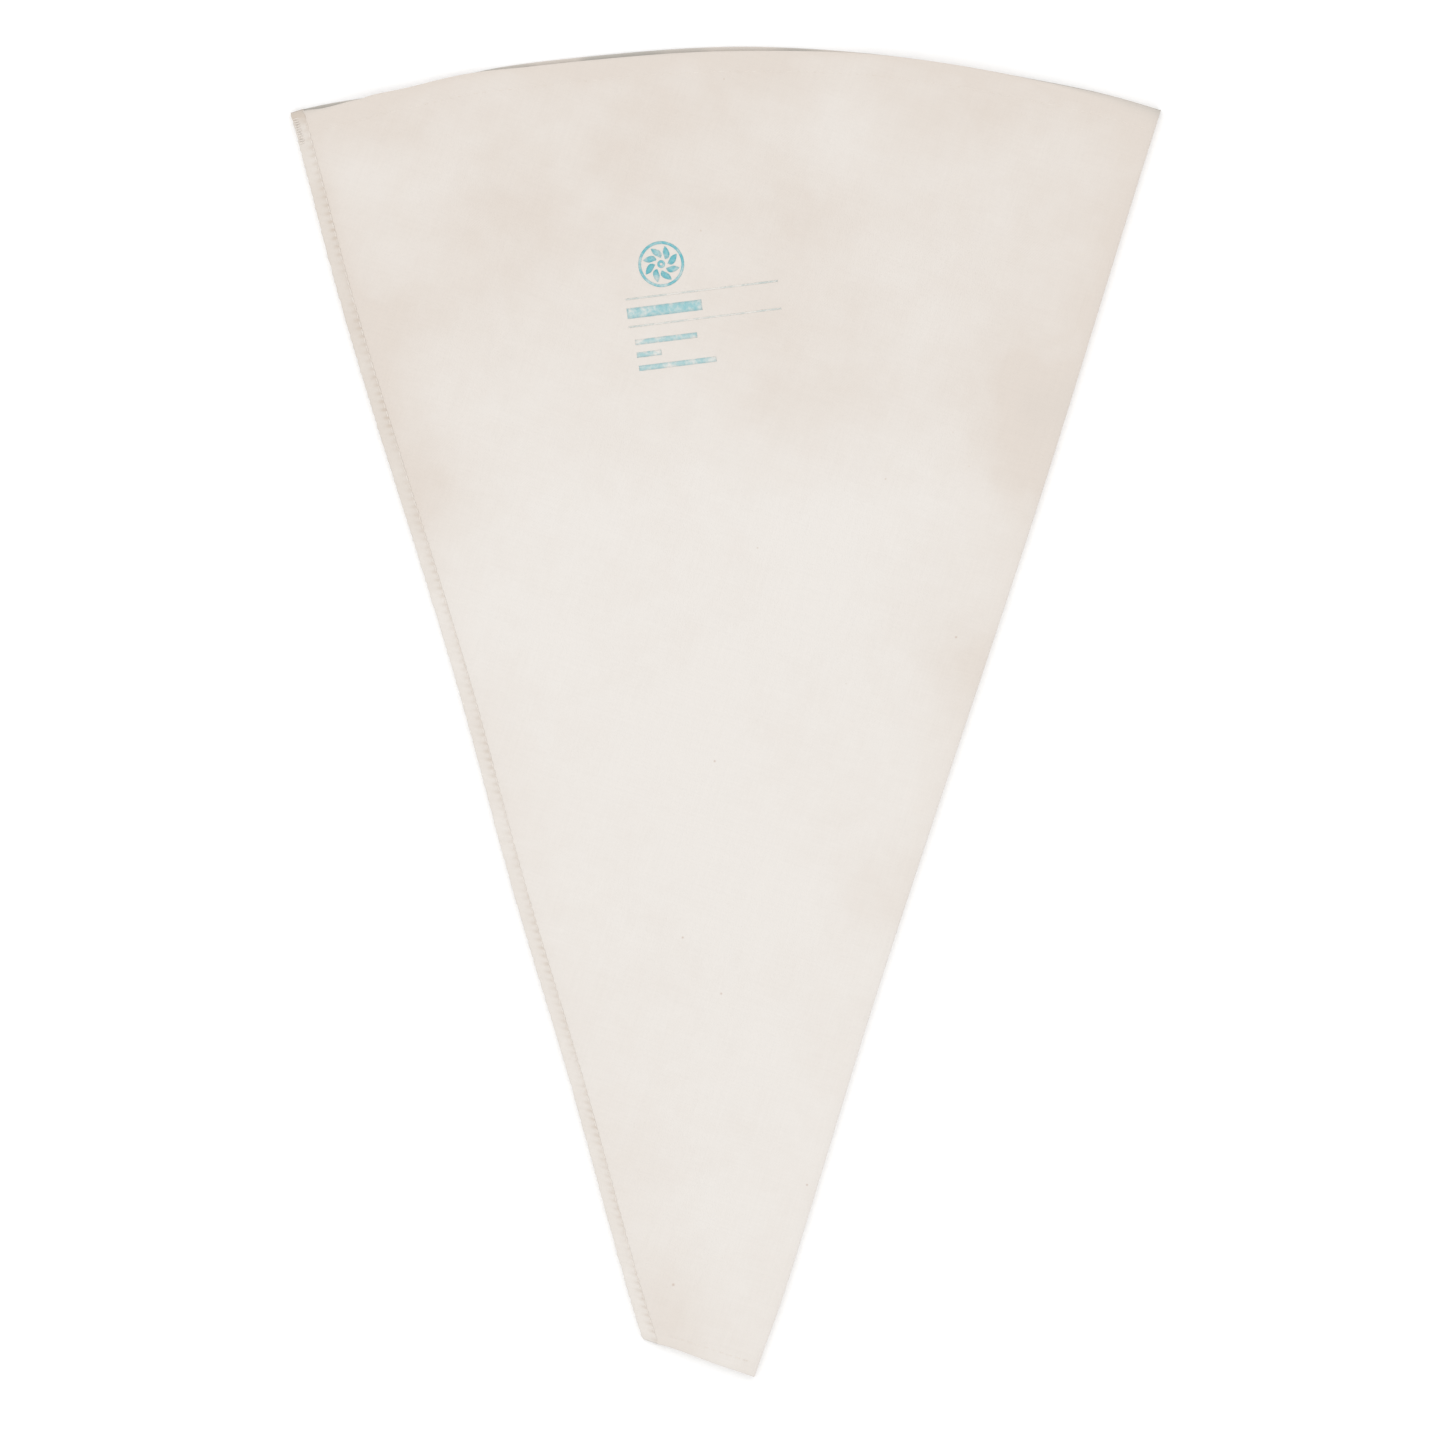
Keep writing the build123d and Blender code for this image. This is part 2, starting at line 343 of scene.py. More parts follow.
def quads(rows, columns, first=0, closed_rows=False, closed_columns=False):
    """Faces of a grid whose points are stored row by row."""
    faces = []
    for i in range(rows if closed_rows else rows - 1):
        for j in range(columns if closed_columns else columns - 1):
            i2, j2 = (i + 1) % rows, (j + 1) % columns
            faces.append([first + a * columns + b for a, b in ((i, j), (i, j2), (i2, j2), (i2, j))])
    return faces


def flipped(faces):
    return [face[::-1] for face in faces]


# ================================================================ the two canvases
def cloth_rows():
    """Rows from tip to mouth: share of the way, offset in mm, outer depth and inner depth."""
    rounding = []                                 # a hem's turned edge: offset, outer depth and inner depth
    for degrees in (72, 46, 20):
        angle = math.radians(degrees)
        depths = (PLY * (1 - math.cos(angle)), PLY * (1 + math.cos(angle)))
        rounding.append((PLY - PLY * math.sin(angle), *depths))
    rows = [(0.0, *place) for place in rounding]
    rows += [(0.0, off, 0.0, 2 * PLY) for off in (0.8, 1.5, 2.4, 3.2, 3.8, 4.3, 4.8, 5.4, TIP_HEM)]
    rows += [(0.0, off, 0.0, PLY) for off in (TIP_HEM + HEM_STEP, 7.2)]
    start, end = 8.5, MOUTH_HEM + 2.6
    for i in range(CLOTH_ROWS):
        share = i / (CLOTH_ROWS - 1)
        rows.append((share, start * (1 - share) - end * share, 0.0, PLY))
    rows += [(1.0, -off, 0.0, PLY) for off in (9.4, MOUTH_HEM + HEM_STEP)]
    rows += [(1.0, -off, 0.0, 2 * PLY) for off in (MOUTH_HEM, 7.3, 6.9, 6.5, 6.1, 5.6, 4.6, 3.4, 2.2, 1.2)]
    rows += [(1.0, -off, outer, inner) for off, outer, inner in reversed(rounding)]
    return np.array(rows)


def cloth_columns(side):
    """Distances of the columns near the seam's hinge line, and of those near the fold."""
    near_row = [-TUCK, -TUCK / 2, 0, 0.35, 0.7, 1.1, 1.5, 1.9, 2.3, 2.7, 3.1, 3.6, 4.4, 5.6]
    near_fold = [CURL * (1 - math.cos(math.radians(angle))) for angle in (0, 12, 24, 36, 48, 60, 75, 90)]
    near_fold += [3.4, 5.0]
    if side == "back":
        near_row = [0, 1.2, 2.8, 5.6]
    return np.array(near_row), np.array(near_fold)


def cloth_grid(side):
    """Turn and distance of each point of the cloth's grid, one row per line."""
    rows = cloth_rows()
    near_row, near_fold = cloth_columns(side)
    between = CLOTH_COLUMNS
    share, offset = rows[:, :1], rows[:, 1:2]
    even = 2 * (np.arange(between) + 1) / (between + 1) - 1
    shares = 0.5 + 0.5 * np.sign(even) * np.abs(even) ** 1.5     # closest together at the crease
    count = len(near_row) + between + len(near_fold)
    turn = np.linspace(-HALF, HALF, count)[None, :] + 0 * share
    for _ in range(SETTLING):
        distance = tip_distance(turn) * (1 - share) + mouth_distance(turn) * share + offset
        width = 2 * HALF * distance
        left, right = near_row[-1], near_fold[-1]
        from_row = np.empty_like(distance)
        from_row[:, :len(near_row)] = near_row
        middle = slice(len(near_row), len(near_row) + between)
        from_row[:, middle] = left + (width[:, middle] - left - right) * shares
        from_row[:, middle.stop:] = width[:, middle.stop:] - near_fold[::-1]
        turn = -HALF + from_row / distance
    return turn, distance, rows[:, 2:3], rows[:, 3:4]


def tone_of(side, turn, distance):
    """How dark the cloth is: 0 where clean, about 1 where stained and where shade is painted along the
    edges, and more where it turns grey.
    """
    x, y = distance * np.sin(turn), distance * np.cos(turn)
    from_row, from_fold = to_sides(turn, distance)
    below_mouth = mouth_distance(turn) - distance
    above_tip = distance - tip_distance(turn)
    # Darker over the upper part, towards the mouth.
    tone = UPPER_DARKENING * ramp(distance, UPPER_START, UPPER_FULL)
    inward = {"row": from_row, "fold": from_fold, "mouth": below_mouth, "tip": above_tip}
    # Painted shade along the edges, where the cloth rounds away from the light.
    for edge, reach, strength, gain, (start, full) in EDGE_SHADE:
        tone = tone + (strength + gain * ramp(distance, start, full)) * fading(inward[edge], reach)
    # More painted shade along the mouth's right-hand edge.
    tone = tone + RIGHT_SHADE * ramp(x, RIGHT_START, RIGHT_FULL) * fading(below_mouth, RIGHT_REACH)
    flip = 1 if side == "front" else -1           # the back's stains lie the other way round
    for spot_x, spot_y, radius, strength in SOFT_SPOTS:
        tone = tone + strength * np.exp(-((x - flip * spot_x) ** 2 + (y - spot_y) ** 2) / (2 * radius**2))
    if side == "back":
        # Painted shadow of the gap between the two layers, on the back's mouth edge where it shows past the
        # front.
        gap_shade = MOUTH_GAP_SHADE - GAP_SHADE_LOSS * ramp(x, LOSS_START, LOSS_FULL)
        tone = tone + gap_shade * smooth(1 - below_mouth / GAP_SHADE_WIDTH)
    return tone


def build_canvas(side, material):
    turn, distance, outer_depth, inner_depth = cloth_grid(side)
    rows, columns = turn.shape
    _, from_fold = to_sides(turn, distance)
    thinned = (FOLD_SHELL + (PLY - FOLD_SHELL) * smooth((from_fold - CURL) / SHELL_GROWTH)) / PLY
    outer = cloth_point(side, turn, distance, outer_depth * thinned)
    inner = cloth_point(side, turn, distance, inner_depth * thinned)
    count = rows * columns
    faces = flipped(quads(rows, columns)) + quads(rows, columns, first=count)
    for i in range(rows - 1):
        a, b = i * columns, (i + 1) * columns
        faces.append([a, a + count, b + count, b])
        a, b = a + columns - 1, b + columns - 1
        faces.append([a, b, b + count, a + count])
    last = (rows - 1) * columns
    for j in range(columns - 1):
        faces.append([j, j + 1, j + 1 + count, j + count])
        faces.append([last + j, last + j + count, last + j + 1 + count, last + j + 1])
    if side == "front":
        faces = flipped(faces)
    flat = heading(turn) * distance[..., None]
    flat = np.concatenate([flat.reshape(-1, 2)] * 2)
    tone = np.concatenate([tone_of(side, turn, distance).ravel()] * 2)
    points = np.concatenate([outer.reshape(-1, 3), inner.reshape(-1, 3)])
    piece = make_piece(f"{side}_canvas", points, faces, material, flat, tone)
    return piece


def build_fold_lip(side, material):
    """A thin lip inside the fold, curved to its nose.

    Each lip starts inside its own canvas and reaches past the fold's middle, so that the two close the
    fold when its halves part.
    """
    way = 1.0 if side == "front" else -1.0
    share = np.linspace(0, 1, LIP_ROWS)
    tip_gap, mouth_gap = 0.4, 0.8
    length = mouth_distance(HALF) - tip_distance(HALF) - (tip_gap + mouth_gap)
    distance = tip_distance(HALF) + tip_gap + length * share
    edge = plan(side, np.full_like(distance, HALF), distance)
    outward_way = np.array([math.cos(HALF), -math.sin(HALF)])
    at_point, growth = LIP_REACH[side]
    reach = at_point + growth * distance - eased(FOLD_WANDER, distance)
    steps = np.concatenate([np.linspace(-1, 0, 6)[:-1], np.linspace(0, 1, 10)])
    sides = []
    for depth in (LIP_DEPTH[side], LIP_DEPTH[side] + LIP_THICK):
        wide, tall = CURL - depth, MID - depth
        past = np.minimum(reach, 0.97 * tall)[:, None]
        across = steps * np.where(steps < 0, 0.7 * tall, past)
        out = -CURL + wide * np.sqrt(1 - (across / tall) ** 2)
        xy = edge[:, None] + outward_way * out[..., None]
        sides.append(np.concatenate([xy, (MID - way * across)[..., None]], -1))
    points = np.concatenate([sides[0], sides[1][:, ::-1]], 1)
    rows, columns = points.shape[:2]
    faces = quads(rows, columns, closed_columns=True)
    for first in (0, (rows - 1) * columns):
        for j in range(len(steps) - 1):
            a, b = first + j, first + columns - 1 - j
            face = [a, a + 1, b - 1, b]
            faces.append(face if first else face[::-1])
    if side == "back":
        faces = flipped(faces)
    flat = np.repeat(edge[:, None], columns, 1)
    piece = make_piece(f"fold_lip_{side}", points, faces, material, flat, np.full(rows * columns, 0.3))
    return piece


# ================================================================ the sewn side
def seam_place(out, share):
    """Plan position on the sewn side: out is mm outward from the hinge line, share runs tip to mouth."""
    along, across = heading(-HALF), np.array([-math.cos(HALF), -math.sin(HALF)])
    tilt = HALF + TIP_TILT
    near = (TIP_FOLD_RADIUS * math.cos(HALF - TIP_TILT) + out * math.sin(tilt)) / math.cos(tilt)
    start = across * out - MOUTH_CENTRE if np.isscalar(out) else across * out[..., None] - MOUTH_CENTRE
    dot = start @ along
    far = -dot + np.sqrt(dot**2 - (start**2).sum(-1) + MOUTH_ARC**2)
    distance = near + (far - near) * share
    wander = eased(SEAM_WANDER, distance)
    edge = eased(BACK_MOUTH, -distance * math.sin(HALF)) * (1 - smooth((far - distance) / WANDER_FADE))
    xy = along * (distance + edge)[..., None] + across * (out + wander)[..., None]
    return xy, distance


def seam_profile(distance):
    """Cross-section of the sewn side along it: two folded plies, one over the other."""
    rng = np.random.default_rng(4)
    fine = np.arange(600)                         # every millimetre, to past the mouth
    coarse = fine[::9]
    jitter = np.interp(distance, fine, rng.normal(0, 1, len(fine)))
    slow = np.interp(distance, coarse, rng.normal(0, 1, len(coarse)))
    pucker = 0.04 * jitter - PUCKER * np.cos(ripple(distance)) * (0.75 + 0.4 * slow)
    top, edge = MID + SEAM_PLIES, SEAM_EDGE + 0.07 * jitter + 0.05 * np.cos(ripple(distance))
    low = 0.0 * distance
    lobe = 0.45 * SEAM_PLIES
    dip = MID + ROW_PLIES
    shape = [                                     # outward, height and share of the pucker
        (low, dip + low, 0.2), (low + 0.3 * GROOVE, dip + 0.1, 0.4), (low + 0.65 * GROOVE, dip + 0.15, 0.8),
        (low + GROOVE, top + low, 1), (low + 1.9, top + low + 0.05, 1), (low + 2.5, top + low + 0.04, 0.8),
        (low + 3.1, top + low, 0.6), (edge - 0.55, top - 0.04, 0.45), (edge - 0.16, top - 0.22, 0.3),
        (edge, MID + lobe, 0.1), (edge - 0.12, MID + 0.2, 0), (edge - 0.42, MID + low, 0),
        (edge - 0.16, MID - 0.2, 0), (edge - 0.05, MID - 0.8, 0), (edge - 0.2, 0.35 + low, 0),
        (edge - 0.6, 0.05 + low, 0), (low + 2.6, low, 0), (low + 1.2, low, 0), (low, low, 0),
    ]
    out = np.stack([point[0] + low for point in shape], 1)
    height = np.stack([point[1] + pucker * point[2] for point in shape], 1)
    return out, height


def build_seam(material):
    share = np.linspace(0, 1, SEAM_ROWS)
    _, distance = seam_place(0.0, share)
    out, height = seam_profile(distance)
    rows_in = np.minimum(share, 1 - share) * SEAM_ROWS
    squeeze = np.sqrt(np.clip(rows_in / SEAM_TAPER, 0.04, 1))[:, None]
    height = MID * 0.8 + (height - MID * 0.8) * squeeze
    xy, _ = seam_place(out, share[:, None] + 0 * out)
    rows, columns = out.shape
    points = np.concatenate([xy, height[..., None]], -1)
    faces = quads(rows, columns, closed_columns=True)
    faces.append(list(range(columns)))
    faces.append([(rows - 1) * columns + j for j in range(columns)][::-1])
    # Painted shade in the groove by the row of stitches.
    tone = SEAM_TONE["all"] + SEAM_TONE["groove_shade"] * bell(out - 0.4, 1.2)
    tone = tone + SEAM_TONE["upper"] * ramp(distance, 290, 350)[:, None]
    tone = tone + SEAM_TONE["corner"] * bell(distance - distance[-1], 2.9)[:, None]
    # Painted shade at each needle hole, where the cloth puckers.
    hole_shade = (0.5 + 0.5 * np.cos(ripple(distance))) ** 2
    uneven = 0.6 + 0.4 * np.sin(distance / 17) * np.sin(distance / 6.1)
    tone = tone + SEAM_TONE["hole_shade"] * (hole_shade * uneven)[:, None] * bell(out - 0.6, 1.2)
    piece = make_piece("sewn_side", points, flipped(faces), material, xy, tone)
    return piece


# ================================================================ thread
def thread_piece(name, places, size, material, seed):
    """Separate arched stitches. A place is a middle, a direction and the way that the arch stands."""
    rng = np.random.default_rng(seed)
    length, radius, arch = size
    rings, sides = 7, 7
    points, faces = [], []
    for middle, along, up in places:
        along = along / np.linalg.norm(along)
        across = np.cross(up, along)
        across = across / np.linalg.norm(across)
        turn = rng.normal(0, STITCH_TURN)
        cos, sin = math.cos(turn), math.sin(turn)
        along, across = along * cos + across * sin, across * cos - along * sin
        long = length * (1 + rng.normal(0, STITCH_STRETCH))
        first = len(points)
        for i in range(rings):
            t = -1 + 2 * i / (rings - 1)
            centre = middle + along * (t * long / 2) + up * (arch * (1 - t * t) - radius * 1.1 * t**4)
            thick = radius * (1 - 0.45 * t**4)
            for j in range(sides):
                angle = 2 * math.pi * j / sides
                points.append(centre + thick * (across * math.cos(angle) + up * math.sin(angle)))
        faces += flipped(quads(rings, sides, first, closed_columns=True))
        faces.append([first + j for j in range(sides)])
        faces.append([first + (rings - 1) * sides + j for j in range(sides)][::-1])
    points = np.array(points)
    piece = make_piece(name, points, faces, material, points[:, :2])
    return piece


def seam_stitches(name, upper, material):
    _, ends = seam_place(SEAM_ROW, np.array([0.0, 1.0]))
    first = math.ceil((ends[0] + ROW_MARGIN / 2) / PITCH)
    last = math.floor((ends[1] - ROW_MARGIN) / PITCH)
    share = (PITCH * (np.arange(first, last) + 0.5) - ends[0]) / (ends[1] - ends[0])
    xy, _ = seam_place(SEAM_ROW, share)
    ahead, _ = seam_place(SEAM_ROW, share + 0.001)
    height, way = (MID + ROW_PLIES + 0.12, 1.0) if upper else (0.02, -1.0)
    places = []
    for here, there in zip(xy, ahead):
        along = np.append(there - here, 0.0)
        places.append((np.append(here, height), along, np.array([0, 0, way])))
    size = SEAM_STITCH if upper else HEM_STITCH
    return thread_piece(name, places, size, material, 11 if upper else 12)


def hem_stitches(name, side, edge, material):
    """Stitches of the mouth's or the tip's hem, on one face of the bag."""
    samples = 4000
    turns = np.linspace(-HALF, HALF, samples)
    distance = mouth_distance(turns) - MOUTH_ROW if edge == "mouth" else tip_distance(turns) + TIP_ROW
    from_row, from_fold = to_sides(turns, distance)
    kept = (from_row > ROW_MARGIN + 1) & (from_fold > ROW_MARGIN)
    turns, distance = turns[kept], distance[kept]
    row = cloth_point(side, turns, distance)
    run = np.append(0, np.cumsum(np.linalg.norm(np.diff(row, axis=0), axis=1)))
    count = round(run[-1] / PITCH)
    picked = np.searchsorted(run, run[-1] * (np.arange(count) + 0.5) / count)
    ups = outward(side, turns, distance)
    places = [(row[i] - ups[i] * 0.02, row[min(i + 5, len(row) - 1)] - row[i - 5], ups[i]) for i in picked]
    return thread_piece(name, places, HEM_STITCH, material, len(name))


def build_backtack(material):
    """The bar of thread across the seam at the mouth: short stitches packed side by side."""
    places = []
    for i in range(TACK_COUNT):
        out = np.array([TACK_OUT + 0.15 * (i % 2)])
        xy, _ = seam_place(out, np.array([TACK_START - i * TACK_STEP]))
        across = np.array([-math.cos(HALF), -math.sin(HALF), 0.12 * (-1) ** i])
        places.append((np.append(xy[0], MID + SEAM_PLIES + 0.12), across, np.array([0, 0, 1.0])))
    return thread_piece("seam_backtack_bar", places, TACK_STITCH, material, 21)


# ================================================================ the printed mark
def on_front(flat, depth):
    turn = np.arctan2(flat[..., 0], flat[..., 1])
    return cloth_point("front", turn, np.hypot(flat[..., 0], flat[..., 1]), depth)


def mark_place(local):
    """From the mark's own plan to the cone frame."""
    c, s = math.cos(MARK_TILT), math.sin(MARK_TILT)
    x, y = local[..., 0], local[..., 1]
    return np.stack([x * c - y * s, x * s + y * c], -1) + MARK_CENTRE


def bar_grid(x, y, width, height):
    across = np.linspace(x - width / 2, x + width / 2, max(2, round(width)) + 1)
    up = np.linspace(y - height / 2, y + height / 2, max(1, round(height)) + 1)
    return np.stack(np.meshgrid(across, up), -1), False


def ring_grid(x, y, inner, outer):
    turn = np.linspace(0, 2 * math.pi, 64, endpoint=False)
    radius = np.array([outer, inner])[:, None]
    return np.stack([x + radius * np.cos(turn), y + radius * np.sin(turn)], -1), True


def petal_grid(x, y, radius, turn):
    """One leaf of the rosette, leaning round its middle."""
    along = np.linspace(0.28, 0.8, 12)
    half = 0.15 * np.sin(math.pi * (along - 0.28) / 0.52) + 0.012
    lean = turn + 0.9 * (along - 0.28)
    edges = []
    for sign in (-1, 1):
        angle = lean + sign * half / along
        edges.append(np.stack([x + radius * along * np.cos(angle), y + radius * along * np.sin(angle)], -1))
    return np.stack(edges), False


def mark_shapes():
    """The mark's pieces, each with the shapes that it prints."""
    x, y, radius = ROSETTE
    shapes = [("title", *bar_grid(*TITLE_BAR))]
    shapes += [("small", *bar_grid(*bar)) for bar in SMALL_BARS]
    shapes.append(("rosette", *ring_grid(x, y, radius * 0.88, radius)))
    shapes.append(("rosette", *ring_grid(x, y, radius * 0.06, radius * 0.17)))
    shapes += [("rosette", *petal_grid(x, y, radius, 2 * math.pi * i / 8)) for i in range(8)]
    return {"printed_mark": shapes, "printed_rules": [("rule", *bar_grid(*bar)) for bar in RULES]}


def build_ink(name, shapes, material):
    points, faces, flat, tone = [], [], [], []
    for kind, local, round_about in shapes:
        placed = mark_place(local)
        fade = FADED[kind] + 0 * local[..., 0]
        if kind == "rule":
            strength, middle, width = RULE_WEAR
            fade = fade + strength * bell(local[..., 0] - middle, width)
        tone += fade.ravel().tolist() * 2
        rows, columns = placed.shape[:2]
        count, first = rows * columns, len(points)
        points += on_front(placed, -INK_OVER).reshape(-1, 3).tolist()
        points += on_front(placed, INK_DEEP).reshape(-1, 3).tolist()
        flat += placed.reshape(-1, 2).tolist() * 2
        top = quads(rows, columns, first, closed_columns=round_about)
        faces += top + flipped(quads(rows, columns, first + count, closed_columns=round_about))
        ring = range(columns if round_about else columns - 1)
        for j in ring:
            a, b = first + j, first + (j + 1) % columns
            faces.append([a, a + count, b + count, b])
            a, b = a + (rows - 1) * columns, b + (rows - 1) * columns
            faces.append([a, b, b + count, a + count])
        if not round_about:
            for i in range(rows - 1):
                a, b = first + i * columns, first + (i + 1) * columns
                faces.append([a, b, b + count, a + count])
                a, b = a + columns - 1, b + columns - 1
                faces.append([a, a + count, b + count, b])
    piece = make_piece(name, points, faces, material, flat, tone)
    return piece


# ================================================================ materials
class Graph:
    """Short forms for building a material's nodes."""

    def __init__(self, name):
        self.material = bpy.data.materials.new(name)
        self.material.use_nodes = True
        self.tree = self.material.node_tree
        self.tree.nodes.clear()

    def put(self, value, socket):
        if isinstance(value, bpy.types.NodeSocket):
            self.tree.links.new(value, socket)
        else:
            socket.default_value = value

    def node(self, kind, inputs=None, **settings):
        made = self.tree.nodes.new(kind)
        for key, value in settings.items():
            setattr(made, key, value)
        for key, value in (inputs or {}).items():
            self.put(value, made.inputs[key])
        return made

    def math(self, operation, *values):
        made = self.node("ShaderNodeMath", operation=operation)
        for socket, value in zip(made.inputs, values):
            self.put(value, socket)
        return made.outputs[0]

    def noise(self, vector, scale, detail=2.0, roughness=0.5):
        inputs = {"Vector": vector, "Scale": scale, "Detail": detail, "Roughness": roughness}
        return self.node("ShaderNodeTexNoise", inputs).outputs["Fac"]

    def stretched(self, vector, scale):
        made = self.node("ShaderNodeVectorMath", operation="MULTIPLY")
        self.put(vector, made.inputs[0])
        self.put(scale, made.inputs[1])
        return made.outputs[0]

    def span(self, value, low, high, to_low=0.0, to_high=1.0):
        inputs = {"Value": value, "From Min": low, "From Max": high, "To Min": to_low, "To Max": to_high}
        return self.node("ShaderNodeMapRange", inputs, interpolation_type="SMOOTHSTEP").outputs[0]

    def mix(self, share, first, second):
        made = self.node("ShaderNodeMix", data_type="RGBA")
        for socket, value in ((made.inputs[0], share), (made.inputs[6], first), (made.inputs[7], second)):
            self.put(value, socket)
        return made.outputs[2]

    def finish(self, color, height, strength, distance, **sockets):
        bump = self.node("ShaderNodeBump", {"Height": height, "Strength": strength, "Distance": distance})
        shader = self.node("ShaderNodeBsdfPrincipled", {"Base Color": color, "Normal": bump.outputs[0]})
        for name, value in sockets.items():
            shader.inputs[name.replace("_", " ")].default_value = value
        output = self.node("ShaderNodeOutputMaterial")
        self.tree.links.new(shader.outputs[0], output.inputs[0])
        return self.material


YARN_PITCH = 0.00056                              # metres for two yarns, one over and one under


def weave(graph, uv):
    """Height of a plain weave, its yarns a little uneven."""
    drift = graph.node("ShaderNodeTexNoise", {"Vector": uv, "Scale": 160.0, "Detail": 2.0}).outputs["Color"]
    centred = graph.node("ShaderNodeVectorMath", operation="SUBTRACT")
    graph.put(drift, centred.inputs[0])
    graph.put((0.5, 0.5, 0.5), centred.inputs[1])
    moved = graph.node("ShaderNodeVectorMath", operation="MULTIPLY_ADD")
    graph.put(centred.outputs[0], moved.inputs[0])
    graph.put((0.0006, 0.0006, 0.0), moved.inputs[1])
    graph.put(uv, moved.inputs[2])
    parts = graph.node("ShaderNodeSeparateXYZ", {0: moved.outputs[0]})
    waves = []
    for k in (0, 1):
        turns = graph.math("MULTIPLY", parts.outputs[k], 2 * math.pi / YARN_PITCH)
        waves.append(graph.math("SINE", turns))
    return graph.math("MULTIPLY", *waves)


GREY_SHADE_AND_GRIME = (0.48, 0.455, 0.415, 1)                   # greyed cloth: painted shadow at the back's mouth edge, grime where the cloth is worn most
FLECK, DOT = (0.42, 0.27, 0.19, 1), (0.5, 0.38, 0.28, 1)


def canvas_material(name, light, warm):
    """Cotton canvas, light where clean and warm where stained and where shade is painted, with uneven yarns
    and small flecks.
    """
    graph = Graph(name)
    uv = graph.node("ShaderNodeUVMap", uv_map="cloth").outputs[0]
    tone = graph.node("ShaderNodeAttribute", attribute_name="tone").outputs["Fac"]
    cells = weave(graph, uv)
    blotch = graph.noise(uv, 24.0, 4.0, 0.55)
    grain = graph.noise(uv, 150.0, 3.0, 0.6)
    warp = graph.noise(graph.stretched(uv, (1500.0, 45.0, 1.0)), 1.0, 2.0)
    weft = graph.noise(graph.stretched(uv, (45.0, 1500.0, 1.0)), 1.0, 2.0)
    soft, sharp = graph.span(blotch, 0.3, 0.7, -0.1, 0.12), graph.span(grain, 0.3, 0.7, -0.05, 0.06)
    uneven = graph.math("ADD", soft, sharp)
    mottle = graph.span(graph.noise(uv, 45.0, 3.0, 0.5), 0.3, 0.7, 0.82, 1.18)
    share = graph.math("ADD", graph.math("MULTIPLY", tone, mottle), uneven)
    share = graph.node("ShaderNodeClamp", {"Value": share}).outputs[0]
    color = graph.mix(share, light, warm)
    patchy = graph.span(graph.noise(uv, 42.0, 1.0), 0.38, 0.62, 0.35, 1.0)
    # Grey where the tone passes 1.2: painted shadow at the back's mouth edge, grime elsewhere.
    color = graph.mix(graph.math("MULTIPLY", graph.span(tone, 1.2, 2.2), patchy), color, GREY_SHADE_AND_GRIME)
    yarn = graph.math("ADD", graph.span(warp, 0.2, 0.8, -0.5, 0.5), graph.span(weft, 0.2, 0.8, -0.5, 0.5))
    shade = graph.math("ADD", graph.math("MULTIPLY", cells, 0.022), graph.math("MULTIPLY", yarn, 0.03))
    shadow = (*[0.55 * part for part in warm[:3]], 1)
    color = graph.mix(graph.math("SUBTRACT", 0.05, shade), color, shadow)
    fleck = 0.0
    for x, y, radius in SPECKS:
        place = (*weave_uv([(x, y)])[0], 0.0)
        gap = graph.node("ShaderNodeVectorMath", operation="DISTANCE")
        graph.put(uv, gap.inputs[0])
        graph.put(place, gap.inputs[1])
        spot = graph.span(gap.outputs["Value"], radius * 1.3 * MM, radius * 0.2 * MM)
        fleck = graph.math("MAXIMUM", fleck, spot)
    fine = graph.node("ShaderNodeTexVoronoi", {"Vector": uv, "Scale": 130.0, "Randomness": 1.0})
    chance = graph.node("ShaderNodeSeparateColor", {0: fine.outputs["Color"]}).outputs[0]
    rare = graph.math("GREATER_THAN", chance, 0.965)
    dot = graph.math("MULTIPLY", graph.span(fine.outputs["Distance"], 0.055, 0.02), rare)
    color = graph.mix(graph.math("MULTIPLY", fleck, 0.42), color, FLECK)
    color = graph.mix(graph.math("MULTIPLY", dot, 0.3), color, DOT)
    height = graph.math("ADD", graph.math("MULTIPLY", cells, 0.5), graph.math("MULTIPLY", yarn, 0.4))
    height = graph.math("ADD", height, graph.math("MULTIPLY", grain, 1.6))
    return graph.finish(
        color, height, 0.35, 0.00012,
        Roughness=0.92, Sheen_Weight=0.12, Sheen_Roughness=0.5, Specular_IOR_Level=0.15,
    )


def thread_material():
    """Spun cotton thread, its twist drawn as fine slanting stripes of painted shade in the twist's grooves.
    """
    graph = Graph("spun_thread")
    uv = graph.node("ShaderNodeUVMap", uv_map="cloth").outputs[0]
    parts = graph.node("ShaderNodeSeparateXYZ", {0: uv})
    across = graph.math("MULTIPLY", parts.outputs[0], 9000.0)
    along = graph.math("MULTIPLY", parts.outputs[1], 15000.0)
    twist = graph.math("SINE", graph.math("ADD", across, along))
    wear = graph.noise(uv, 240.0, 2.0)
    color = graph.mix(graph.span(wear, 0.3, 0.7), (0.78, 0.73, 0.675, 1), (0.73, 0.665, 0.60, 1))
    # Painted shade in the twist's grooves.
    color = graph.mix(graph.span(twist, -1.0, 0.2, 0.12, 0.0), color, (0.5, 0.43, 0.36, 1))
    return graph.finish(color, twist, 0.3, 0.00005, Roughness=0.8, Sheen_Weight=0.1, Specular_IOR_Level=0.2)


